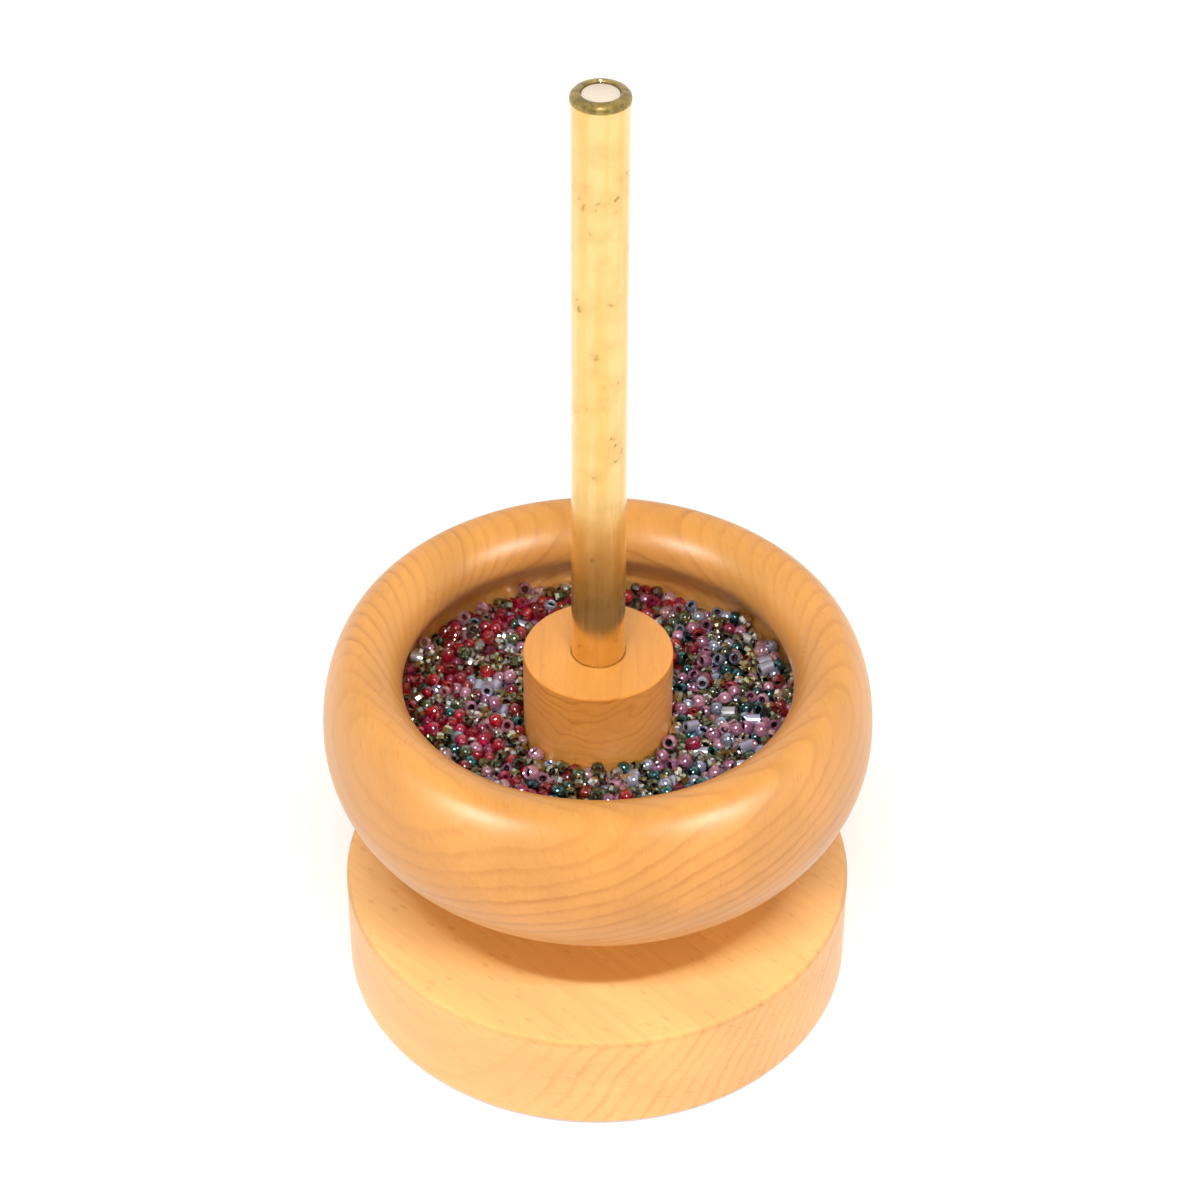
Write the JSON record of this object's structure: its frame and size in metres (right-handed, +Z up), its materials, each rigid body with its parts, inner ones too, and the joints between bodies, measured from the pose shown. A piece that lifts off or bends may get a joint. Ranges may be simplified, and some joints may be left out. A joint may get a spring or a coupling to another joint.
{
  "type": "bead spinner",
  "caption": "Turned wooden bowl of loose beads on a tall brass spindle, free to spin on a steel axle above a round wooden base, for stringing beads onto a curved needle.",
  "frame": {"origin": "on the floor under the feet, at the centre of the base and on the spin axis", "axes": "+Z up along the axle and the brass spindle; +X to the right and -Y towards the viewer of the picture; the turned pieces look the same from every side"},
  "size_m": [0.1248, 0.1248, 0.2359],
  "materials": {
    "beech": "turned and sanded beech under a clear satin varnish, warm orange tan, with growth rings and short dark flecks",
    "brass": "bright drawn tube, slightly worn and specked, browner near the hub",
    "steel": "bright drawn axle, zinc plated nuts and washers",
    "ball_steel": "polished ball",
    "nylon": "moulded nylon, cream white, satin",
    "rubber": "matt black rubber",
    "beads": "mixed glass seed beads: ruby, mauve pink, dark teal, silver lined olive, grey lavender and clear"
  },
  "bodies": {
    "base": {"base_body": "beech", "base_feet": "rubber", "lower_washer": "steel", "lower_nut": "steel", "upper_washer": "steel", "upper_nut": "steel", "axle": "steel"},
    "pivot": {"pivot_ball": "ball_steel"},
    "bowl": {"bowl": "beech", "hub": "beech", "spindle_tube": "brass", "top_plug": "nylon", "tube_bush": "nylon", "bead_charge": "beads"}
  },
  "joints": [
    {"name": "spin", "type": "hinge", "parent": "base", "child": "pivot", "pos_m": [0, 0, 0.2229], "axis": [0, 0, 1], "continuous": true},
    {"name": "lift", "type": "slide", "parent": "pivot", "child": "bowl", "axis": [0, 0, 1], "range_m": [0, 0.18]}
  ]
}
